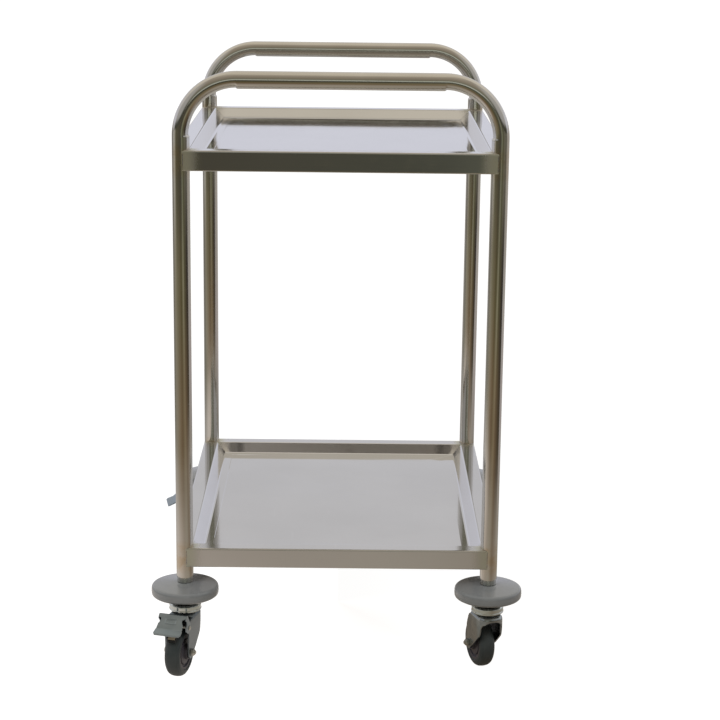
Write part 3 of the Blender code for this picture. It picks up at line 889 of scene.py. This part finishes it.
def fork(braked):
    """One pressed sheet: a domed roof, an arched skirt behind, and two legs that lean forward to the axle."""
    edge_a, shoulder = 20, 7.5

    def half_section(inset):
        """One side of the section across the sheet, drawn in by inset."""
        foot, side, top = LEG_OUTSIDE - inset, edge_a - inset, FORK_TOP - inset
        corners = [(foot, 22, 0), (foot, 52, 14), (side, 78, 14), (side, top, shoulder - inset), (0, top, 0)]
        return rounded(corners, 6, closed=False)[:-1]

    outer, inner = half_section(0), half_section(FORK_SHEET)
    outline = mirrored(outer) + outer[::-1] + inner + mirrored(inner[::-1])
    bent = prism(outline, -29, 60, "YZ")

    foot = [(t, z, 0) for t, z in arc((TRAIL, WHEEL_RADIUS), 9.5, 205, 350, 16)]
    back = [(-27, 100, 0), (-27, 92, 0), (-17.3, 92, 0), (-17.3, 64, 22), (7, 42, 18)]
    if braked:
        horn = [(t, z, 0) for t, z in arc(PEDAL_PIVOT, 6.3, 300, 440, 14)]
        rise = [(36.4, 50, 6), (36, 68, 10)] + horn + [(34, 92, 1)]
    else:
        rise = [(36, 52, 14), (33.2, 67, 18), (27, 81, 14), (20.5, 90, 8)]
    side = rounded(foot + rise + [(27 if braked else 20.5, 100, 0)] + back, 6)

    brow = [(70, 84, 0), (46.5, 86.3, 3), (34, 90, 4)] if braked else [(70, 80, 0), (30.4, 86, 0)]
    crown = rounded([(0, 10, 0), (70, 10, 0)] + brow + [(FORK_RADIUS, 90.5 if braked else 89, 2),
                    (FORK_RADIUS, FORK_TOP, 4 if braked else 6.5), (0, FORK_TOP, 0)], 8)
    dome = rounded([(FORK_RADIUS - 0.1, 72, 0), (FORK_RADIUS - 0.1, FORK_TOP - 0.05, 6.5),
                    (16, FORK_TOP - 0.05, 0)], 8, closed=False)
    thick = FORK_SHEET - 0.05
    dome += rounded([(16, FORK_TOP - thick, 0), (FORK_RADIUS - thick, FORK_TOP - thick, 6.5 - thick),
                     (FORK_RADIUS - thick, 72, 0)], 8, closed=False)
    arch_top, half = (77 if braked else 86.5), 16.4
    arch = rounded([(-half, 40, 0), (-half, arch_top, 14), (half, arch_top, 14), (half, 40, 0)], 12)

    def squared(radius, height, angle):
        share = (abs(cos(angle)) ** 3 + abs(sin(angle) * FORK_RADIUS / edge_a) ** 3) ** (1 / 3)
        return radius / share, height

    skirt = carved(lathe(dome, 120, vary=squared), [
        ("INTERSECT", prism([(-40, -edge_a), (-14, -edge_a), (-14, edge_a), (-40, edge_a)], 60, 100, "XY")),
        ("DIFFERENCE", prism(arch, -60, 0, "YZ")),
        ("DIFFERENCE", prism([(-40, 50), (0, 50), (-13, 66), (-17.3, 73), (-20.5, 81), (-40, 87)], -40, 40)),
    ])
    sides = carved(bent, [("INTERSECT", prism(side, -40, 40)), ("INTERSECT", lathe(crown, 96))])
    whole = carved(turned_corners(sides), [
        ("UNION", skirt),
        ("DIFFERENCE", lathe([(0, 80), (STEM_HOLE, 80), (STEM_HOLE, 100), (0, 100)], 40)),
    ])
    holes = [(SLEEVE_BORE, TRAIL, WHEEL_RADIUS)] + ([(PIN_HOLE, *PEDAL_PIVOT)] if braked else [])
    whole = carved(whole, [drill(*hole, segments=32) for hole in holes])
    bmesh.ops.dissolve_degenerate(whole, edges=whole.edges[:], dist=0.02)
    return softened(whole, 0.35, angle=42)


def free_fork():
    return fork(braked=False)


def braked_fork():
    return fork(braked=True)


def hexagon_radius(across, angle):
    return across / 2 / cos((angle % (pi / 3)) - pi / 6)


def hexagon_solid(across, low, high, bore, washer=False):
    """A hexagon along Y, with a bore where that is over 0. A washer face keeps its low end full."""
    chamfer = [0, 0.15, 0.3, 0.5, 0.75, 1.1]
    heights = [low + c for c in chamfer] + [high - c for c in chamfer[::-1]]
    inner = [(bore, high), (bore, low)] if bore else [(0, high), (0, low)]

    def shaped(radius, height, angle):
        if radius <= max(bore, 0.01):
            return radius, height
        from_face = high - height if washer else min(height - low, high - height)
        cone = across / 2 * 0.985 + from_face * 1.75
        return min(hexagon_radius(across, angle), cone), height

    return lathe([(across / 2, h) for h in heights] + inner, 72, along="Y", vary=shaped)


def axle_bolt():
    """A hexagon bolt whose thread shows past the nut."""
    pitch, depth, thread_from, end = 0.8, 0.32, LEG_INSIDE - 0.8, 26
    under_head = -LEG_OUTSIDE - 0.3
    rows = [(0, under_head - 1.2), (BOLT_RADIUS, under_head - 1.2), (BOLT_RADIUS, thread_from)]
    steps = int((end - 0.5 - thread_from) / (pitch / 6))
    rows += [(BOLT_RADIUS, thread_from + pitch / 6 * i) for i in range(1, steps)]
    rows += [(BOLT_RADIUS - 0.5, end), (0, end)]
    shank = lathe(rows, 36, along="Y", vary=threaded(pitch, depth, thread_from, end, BOLT_RADIUS))
    return carved(shank, [("UNION", hexagon_solid(9, under_head - 3.4, under_head, 0))])


def axle_nut():
    """A lock nut: a hexagon with a turned collar."""
    face, bore = LEG_OUTSIDE + 0.3, SLEEVE_BORE - 0.2
    low, high = face + 3.1, face + 5.2
    outline = [(bore, low, 0.1), (4.5, low, 0.1), (4.5, high, 0.8), (bore, high, 0.2)]
    collar = lathe(rounded(outline, 4), 48, along="Y")
    return carved(hexagon_solid(10, face, face + 3.9, bore, washer=True), [("UNION", collar)])


def axle_sleeve():
    end = LEG_INSIDE - 0.3
    outline = [(SLEEVE_BORE, -end, 0.2), (5.5, -end, 0.5), (5.5, end, 0.5), (SLEEVE_BORE, end, 0.2)]
    return lathe(rounded(outline, 3), 40, along="Y")


# Wheel.


def hub():
    """A moulded core: a proud boss, a domed disc, a groove and the ring that holds the tyre."""
    end = LEG_INSIDE - 1.3
    side = [(11, end, 0.6), (11.5, 11.2, 0.4), (18.8, 10.2, 1), (19.6, 8, 0.5), (22.4, 8, 0.6),
            (23.2, 10.7, 0.6), (27, 10.9, 0.3)]
    outline = [(5.8, end, 0.3)] + side + flipped(side) + [(5.8, -end, 0.3)]
    return lathe(rounded(outline, 4), 96, along="Y")


def tyre():
    """A crowned tread with shoulders, a bead step at the core and a moulding line round the middle."""
    side = [(27.15, 10.9, 0.3), (28.4, 12, 0.8), (31.8, 11.6, 3), (35.4, 9.3, 5), (37.2, 5.6, 5),
            (WHEEL_RADIUS - 0.06, 1.6, 8)]
    middle = [(WHEEL_RADIUS - 0.05, 0.25, 0), (WHEEL_RADIUS, 0.12, 0), (WHEEL_RADIUS, -0.12, 0),
              (WHEEL_RADIUS - 0.05, -0.25, 0)]
    outline = side + middle + flipped(side)
    return lathe(rounded(outline, 5), 128, along="Y")


# Brake.


def pedal_path():
    """(t, z) down the plate's upper face, closely spaced, from its curled top edge to its toe."""
    corners = [(45.5, 101, 0), (49.5, 104.5, 2.2), (56, 98.8, 6), (69.3, 87.5, 3), (78.9, 83.5, 3.5),
               (80.9, 81.9, 0)]
    rough = rounded(corners, 8, closed=False)
    path, spacing = [], 0.75
    for first, second in zip(rough, rough[1:]):
        run = Vector(second) - Vector(first)
        steps = max(1, round(run.length / spacing))
        path += [tuple(Vector(first) + run * i / steps) for i in range(steps)]
    return path + [rough[-1]]


def pedal_half_width(along):
    """The plate's half width at a distance down it: wide shoulders, a waist, and a wide toe."""
    stops = [(0, 21.9), (10.4, 21.9), (12.6, 16.7), (16, 16.5), (23, 19.5), (30, 20), (33, 20.9),
             (40, 21.4), (43.5, 19.4)]
    for (first, wide), (second, narrow) in zip(stops, stops[1:]):
        if along <= second:
            return wide + (narrow - wide) * smooth_step(along, first, second)
    return stops[-1][1]


def brake_pedal():
    """A pressed plate with a raised rectangle on its panel, a toe lip, and two ears on the pin."""
    pivot_t, pivot_z = PEDAL_PIVOT
    sheet, across, ridge = 1.8, 56, 0.4
    path = pedal_path()
    lengths = [0]
    for first, second in zip(path, path[1:]):
        lengths.append(lengths[-1] + (Vector(second) - Vector(first)).length)
    bm = bmesh.new()
    upper, lower = [], []
    for i, (t, z) in enumerate(path):
        before, after = Vector(path[max(i - 1, 0)]), Vector(path[min(i + 1, len(path) - 1)])
        along = (after - before).normalized()
        down = Vector((along.y, -along.x))
        half = pedal_half_width(lengths[i])
        top_row, low_row = [], []
        for k in range(across + 1):
            a = half * (2 * k / across - 1)
            raised = raised_frame(a, lengths[i]) * ridge
            here = Vector((t - pivot_t, z - pivot_z)) - down * raised
            under = Vector((t - pivot_t, z - pivot_z)) + down * (sheet - raised)
            top_row.append(bm.verts.new((here.x, a, here.y)))
            low_row.append(bm.verts.new((under.x, a, under.y)))
        upper.append(top_row)
        lower.append(low_row)
    stitch_plate(bm, upper, lower)
    ear = rounded([(-6, -2, 4), (-2, -6.6, 4), (7, -7, 3.5), (13, -2, 4), (12, 5, 3), (8, 8.8, 2),
                   (10.6, 12.6, 2), (14.2, 15.6, 1.4), (12.6, 18.6, 1.2), (8.5, 21.4, 0.8), (4.6, 18, 1),
                   (-5.6, 4, 4)], 5)
    bm = softened(bm, 0.3, angle=60)
    for side in (-1, 1):
        low, high = sorted((side * 20.3, side * 21.9))
        bm = carved(bm, [("UNION", softened(prism(ear, low, high), 0.25, angle=50))])
    return carved(bm, [drill(PIN_HOLE)])


def raised_frame(a, along):
    """1 on the raised outline of the rectangle pressed into the pedal's panel, 0 away from it."""
    middle, half_long, half_tall, wide = 17.5, 8, 3.4, 0.8
    off = max(abs(a) - half_long, abs(along - middle) - half_tall)
    return 1 - smooth_step(abs(off), wide * 0.4, wide * 1.3)


def stitch_plate(bm, upper, lower):
    """Faces of a plate from the rows of its two skins."""
    rows, columns = len(upper), len(upper[0])
    for i in range(rows - 1):
        for k in range(columns - 1):
            bm.faces.new((upper[i][k], upper[i][k + 1], upper[i + 1][k + 1], upper[i + 1][k]))
            bm.faces.new((lower[i][k], lower[i + 1][k], lower[i + 1][k + 1], lower[i][k + 1]))
        for k in (0, columns - 1):
            bm.faces.new((upper[i][k], upper[i + 1][k], lower[i + 1][k], lower[i][k]))
    for i in (0, rows - 1):
        for k in range(columns - 1):
            bm.faces.new((upper[i][k], lower[i][k], lower[i][k + 1], upper[i][k + 1]))


def pedal_pin():
    """A rivet with two domed heads."""
    head, end = 3.6, 23.6
    corners = [(0, end, 0), (head - 0.4, end, 2), (head, end - 1.4, 0.2), (PIN_RADIUS, end - 1.4, 0)]
    dome = rounded(corners, 6, closed=False)
    return lathe(dome + flipped(dome), 40, along="Y")


def brake_shoe():
    """An arm round the pin with a ribbed pad just off the tyre."""
    clear, half_width = 1.9, 6.5
    wheel = (TRAIL - PEDAL_PIVOT[0], WHEEL_RADIUS - PEDAL_PIVOT[1])
    teeth = []
    for i, (u, v) in enumerate(arc(wheel, WHEEL_RADIUS + clear, 54, 38, 16)):
        out = 0 if i % 4 < 2 else 0.45
        away = (Vector((u, v)) - Vector(wheel)).normalized() * out
        teeth.append((u + away.x, v + away.y))
    back = arc(wheel, WHEEL_RADIUS + clear + 4.5, 38, 52, 10)
    eye = arc((0, 0), 4.3, 10, 250, 24)
    body = softened(prism(teeth + back + eye, -half_width, half_width), 0.4, angle=40)
    return carved(body, [drill(PIN_HOLE)])


def shoe_tab():
    """The beige strip that shows on the pad's face under the pedal's toe."""
    wheel = (TRAIL - PEDAL_PIVOT[0], WHEEL_RADIUS - PEDAL_PIVOT[1])
    near, far = WHEEL_RADIUS + 6.45, WHEEL_RADIUS + 7.6
    outline = arc(wheel, near, 50.5, 42, 6) + arc(wheel, far, 42, 50.5, 6)
    return softened(prism(outline, -5.4, 5.4), 0.25, angle=40)


def brake_leaf():
    """The dark spring leaf under the fork's roof, which bends down behind the tyre."""
    sheet, half = 1.1, 15.6
    top = rounded([(37, 86, 0), (24, 84.9, 10), (-13, 83.2, 6), (-19.2, 77, 6), (-18.8, 63, 12),
                   (-15.6, 51, 0)], 6, closed=False)
    low = rounded([(-14.5, 51.3, 0), (-17.7, 63, 11), (-18.1, 76.6, 5), (-12.6, 82.1, 5), (24, 83.8, 10),
                   (37, 84.9, 0)], 6, closed=False)
    return softened(prism(top + low, -half, half), sheet / 4, angle=50)


def caster_frames(name):
    """The frames that one caster's pieces are drawn in, from its stem and its joints."""
    low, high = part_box(f"{name}_stem")
    axis = JOINTS[f"{name}_wheel_spin"]["axis"]
    turn = Matrix.Rotation(atan2(-axis[0], axis[1]), 4, "Z")
    leg = Matrix.Translation(((low.x + high.x) / 2, (low.y + high.y) / 2, 0))
    swivel = leg @ turn
    axle = swivel @ Matrix.Translation((TRAIL * MM, 0, WHEEL_RADIUS * MM))
    pedal = swivel @ Matrix.Translation((PEDAL_PIVOT[0] * MM, 0, PEDAL_PIVOT[1] * MM))
    return {"leg": leg, "swivel": swivel, "axle": axle, "pedal": pedal}


# (label, CAD node, builder, material, what it moves with, slot, which frame it is drawn in), of every caster.
CASTER_PIECES = (
    ("turned_plug", "leg_plug", leg_plug, "zinc", "leg", "zinc_plate", "leg"),
    ("vinyl_bumper", "bumper", bumper, "vinyl", "leg", "grey_vinyl", "leg"),
    ("threaded_stem", "stem", stem, "zinc", "leg", "zinc_plate", "leg"),
    ("pressed_head", "swivel_head", swivel_head, "bright", "leg", "bright_plate", "leg"),
    ("lipped_seal", "dust_seal", dust_seal, "black", "leg", "black_plastic", "leg"),
    ("caged_balls", "ball_ring", ball_ring, "zinc", "swivel", "zinc_plate", "swivel"),
    ("hex_bolt", "axle_bolt", axle_bolt, "zinc", "swivel", "zinc_plate", "axle"),
    ("lock_nut", "axle_nut", axle_nut, "zinc", "swivel", "zinc_plate", "axle"),
    ("spacer_sleeve", "axle_sleeve", axle_sleeve, "zinc", "swivel", "zinc_plate", "axle"),
    ("moulded_hub", "hub", hub, "hub", "wheel", "hub_plastic", "axle"),
    ("rubber_tyre", "tyre", tyre, "rubber", "wheel", "grey_rubber", "axle"),
)
FREE_PIECES = (("pressed_fork", "fork", free_fork, "bright_fork", "swivel", "fork_plate", "swivel"),)
BRAKE_PIECES = (
    ("pressed_fork", "fork", braked_fork, "fork", "swivel", "fork_plate", "swivel"),
    ("pin_rivet", "pedal_pin", pedal_pin, "zinc", "swivel", "zinc_plate", "pedal"),
    ("pressed_pedal", "brake_pedal", brake_pedal, "pedal", "pedal", "fork_plate", "pedal"),
    ("toothed_shoe", "brake_shoe", brake_shoe, "black", "shoe", "black_plastic", "pedal"),
    ("brake_leaf", None, brake_leaf, "oxide", "swivel", "zinc_plate", "swivel"),
    ("shoe_tab", None, shoe_tab, "beige", "shoe", "black_plastic", "pedal"),
)


def build_caster(name):
    frames = caster_frames(name)
    own = BRAKE_PIECES if name in BRAKED else FREE_PIECES
    for label, node, build, mat, body, slot, place in CASTER_PIECES + own:
        body = "cart_frame" if body == "leg" else f"{name}_{body}"
        stands_for = [f"{name}_{node}"] if node else ()
        piece(f"{name}_{label}", build(), MATS[mat], body, stands_for, frames[place])


# Studio.


def stage_plane(name, mat):
    """A square of floor, 120 m across."""
    bm = bmesh.new()
    bmesh.ops.create_grid(bm, x_segments=1, y_segments=1, size=60.0)
    mesh = bpy.data.meshes.new(name)
    bm.to_mesh(mesh)
    bm.free()
    mesh.materials.append(mat)
    obj = bpy.data.objects.new(name, mesh)
    bpy.context.scene.collection.objects.link(obj)
    return obj


def floor():
    """A plain pale floor, lit from within so that it stays white. Only the camera sees it."""
    look = Look("pale_floor")
    cloud = look.noise(0.8, 2.0, 0.5)
    colour = look.blend(look.span(cloud, 0.3, 0.7), (0.30, 0.305, 0.31), (0.315, 0.32, 0.325))
    look.fixed("Emission Color", (1.0, 1.0, 1.0, 1.0))
    look.fixed("Emission Strength", 0.9)
    obj = stage_plane("pale_floor", look.done(colour, look.span(cloud, 0.3, 0.7, 0.85, 0.9)))
    obj.visible_glossy = False
    obj.visible_diffuse = False


# What lies round the cart in the studio, at four distances in metres: (degrees from straight ahead, colour).
STUDIO_RINGS = {
    0.75: [(-150, (0.40, 0.39, 0.38)), (-110, (0.60, 0.56, 0.53)), (-70, (0.70, 0.64, 0.59)),
           (-40, (0.60, 0.53, 0.47)), (-12, (0.41, 0.36, 0.30)), (12, (0.37, 0.33, 0.27)),
           (35, (0.25, 0.20, 0.15)), (60, (0.34, 0.29, 0.24)), (85, (0.40, 0.36, 0.31)),
           (125, (0.26, 0.24, 0.21))],
    1.6: [(-150, (0.40, 0.38, 0.36)), (-112, (0.21, 0.20, 0.16)), (-85, (0.31, 0.28, 0.22)),
          (-55, (0.29, 0.24, 0.17)), (-25, (0.21, 0.15, 0.09)), (-10, (0.17, 0.12, 0.07)),
          (6, (0.22, 0.17, 0.10)), (18, (0.25, 0.19, 0.12)), (31, (0.17, 0.12, 0.07)),
          (60, (0.08, 0.06, 0.04)), (80, (0.07, 0.06, 0.04)), (86, (0.44, 0.40, 0.39)),
          (125, (0.46, 0.42, 0.41))],
    3.2: [(-150, (0.43, 0.41, 0.38)), (-112, (0.16, 0.15, 0.13)), (-92, (0.33, 0.30, 0.23)),
          (-55, (0.21, 0.19, 0.12)), (-25, (0.17, 0.14, 0.08)), (-9, (0.10, 0.09, 0.04)),
          (2, (0.16, 0.14, 0.08)), (15, (0.30, 0.28, 0.19)), (28, (0.12, 0.11, 0.06)),
          (60, (0.05, 0.04, 0.03)), (80, (0.04, 0.04, 0.04)), (86, (0.44, 0.41, 0.39)),
          (125, (0.47, 0.44, 0.41))],
    5.4: [(-150, (0.50, 0.48, 0.46)), (-112, (0.15, 0.14, 0.12)), (-96, (0.55, 0.53, 0.49)),
          (-74, (0.36, 0.33, 0.27)), (-60, (0.12, 0.11, 0.07)), (-10, (0.08, 0.07, 0.05)),
          (4, (0.08, 0.08, 0.06)), (15, (0.24, 0.24, 0.17)), (28, (0.10, 0.10, 0.06)),
          (50, (0.17, 0.16, 0.12)), (76, (0.13, 0.12, 0.10)), (90, (0.40, 0.37, 0.32)),
          (125, (0.46, 0.43, 0.40))],
}


def studio_floor():
    """What the cart's surfaces see below the horizon. The camera doesn't see it."""
    look = Look("studio_floor_light")
    x, y = look.axis("X"), look.axis("Y")
    away = look.hypot(x, y)
    turned_by = look.math("ARCTAN2", x, look.times(y, -1.0))
    share = look.math("ADD", look.math("DIVIDE", turned_by, 2 * pi), 0.5)
    colour, before = None, None
    for radius, stops in STUDIO_RINGS.items():
        ring = look.ramp(share, [(0.5 + degrees / 360, tone) for degrees, tone in stops])
        colour = look.blend(look.span(away, before, radius), colour, ring) if colour else ring
        before = radius
    emission = look.node("ShaderNodeEmission", {"Color": colour, "Strength": 1.0})
    output = look.tree.nodes["Material Output"]
    look.tree.links.new(emission.outputs[0], output.inputs["Surface"])
    card = stage_plane("studio_floor_light", look.mat)
    card.location = (CENTRE_X * MM, CENTRE_Y * MM, 0.0)
    card.visible_camera = False
    card.visible_shadow = False


def studio_air():
    """The world: a pale wall behind, a warm ceiling, and a dim room ahead. The camera sees plain white."""
    world = bpy.data.worlds.new("studio")
    bpy.context.scene.world = world
    world.use_nodes = True
    sky = Nodes(world.node_tree, "Generated")
    sideways = sky.math("ABSOLUTE", sky.axis("X"))
    depth, elevation = sky.axis("Y"), sky.math("ARCSINE", sky.axis("Z"))
    skirting, wall, dim_wall = (0.56, 0.545, 0.56), (0.71, 0.715, 0.79), (0.64, 0.63, 0.64)
    high_wall, ceiling = (0.74, 0.69, 0.61), (0.70, 0.635, 0.525)
    dark, lamps = (0.062, 0.062, 0.045), (0.60, 0.62, 0.54)
    room = [(0.33, (0.20, 0.195, 0.145)), (0.52, (0.27, 0.236, 0.18)), (0.80, (0.33, 0.285, 0.225)),
            (1.07, (0.41, 0.356, 0.29)), (1.34, (0.57, 0.51, 0.41)), (1.43, ceiling)]
    rear = sky.ramp(elevation, [(0.0, skirting), (0.05, skirting), (0.085, wall), (0.16, wall),
                                (0.30, dim_wall), (0.70, high_wall), (1.40, ceiling)])
    ahead = sky.ramp(elevation, [(0.0, dark), (0.05, dark), (0.08, lamps), (0.13, lamps)] + room)
    aside = sky.ramp(elevation, [(0.0, dark), (0.06, dark), (0.20, (0.17, 0.165, 0.14))] + room)
    beside = sky.ramp(elevation, [(0.0, dark), (0.06, dark), (0.14, (0.42, 0.41, 0.40)),
                                  (0.80, (0.50, 0.48, 0.45)), (1.40, ceiling)])
    aside = sky.blend(sky.span(sideways, 0.45, 0.72), aside, beside)
    front = sky.blend(sky.span(depth, -0.90, -0.96), aside, ahead)
    around = sky.blend(sky.span(depth, 0.12, -0.12), rear, front)
    seen = sky.node("ShaderNodeLightPath", {}).outputs["Is Camera Ray"]
    background = sky.tree.nodes["Background"]
    sky.tree.links.new(sky.blend(seen, around, (1.0, 1.0, 1.0)), background.inputs["Color"])
    background.inputs["Strength"].default_value = 1.0


def softbox(name, where, target, size, power, colour):
    data = bpy.data.lights.new(name, "AREA")
    data.shape = "RECTANGLE"
    data.size, data.size_y = size
    data.energy = power
    data.color = colour
    obj = bpy.data.objects.new(name, data)
    obj.location = where
    obj.rotation_mode = "QUATERNION"
    obj.rotation_quaternion = (Vector(target) - Vector(where)).to_track_quat("-Z", "Y")
    obj.visible_glossy = False
    bpy.context.scene.collection.objects.link(obj)
    return obj


def build_studio():
    floor()
    studio_floor()
    studio_air()
    softbox("key_softbox", (-1.6, -2.4, 2.6), (0, 0, 0.4), (1.6, 1.0), 42.0, (1.0, 0.985, 0.96))
    softbox("fill_softbox", (2.2, -1.4, 2.2), (0, 0, 0.3), (1.4, 1.0), 18.0, (0.97, 0.98, 1.0))


def camera():
    """Looks down at the cart from in front, level with a standing person's chest."""
    down, aside, roll, lens = radians(13.5058), radians(0.4141), radians(0.6815), 96.162
    ahead = Vector((sin(aside) * cos(down), cos(aside) * cos(down), -sin(down)))
    level = Vector((cos(aside), -sin(aside), 0))
    above = level.cross(ahead)
    right = level * cos(roll) + above * sin(roll)
    up = above * cos(roll) - level * sin(roll)
    data = bpy.data.cameras.new("camera")
    data.lens = lens
    data.sensor_width = 36.0
    data.clip_start, data.clip_end = 0.1, 200.0
    obj = bpy.data.objects.new("camera", data)
    turn = Matrix((right, up, -ahead)).transposed()
    place = Vector((CENTRE_X * MM + 0.01133, CENTRE_Y * MM - 3.01605, 1.13806))
    obj.matrix_world = Matrix.Translation(place) @ turn.to_4x4()
    bpy.context.scene.collection.objects.link(obj)
    bpy.context.scene.camera = obj


camera()
build_frame()
for corner in CORNERS:
    build_caster(corner)
build_studio()
bpy.context.scene.view_settings.view_transform = "Standard"
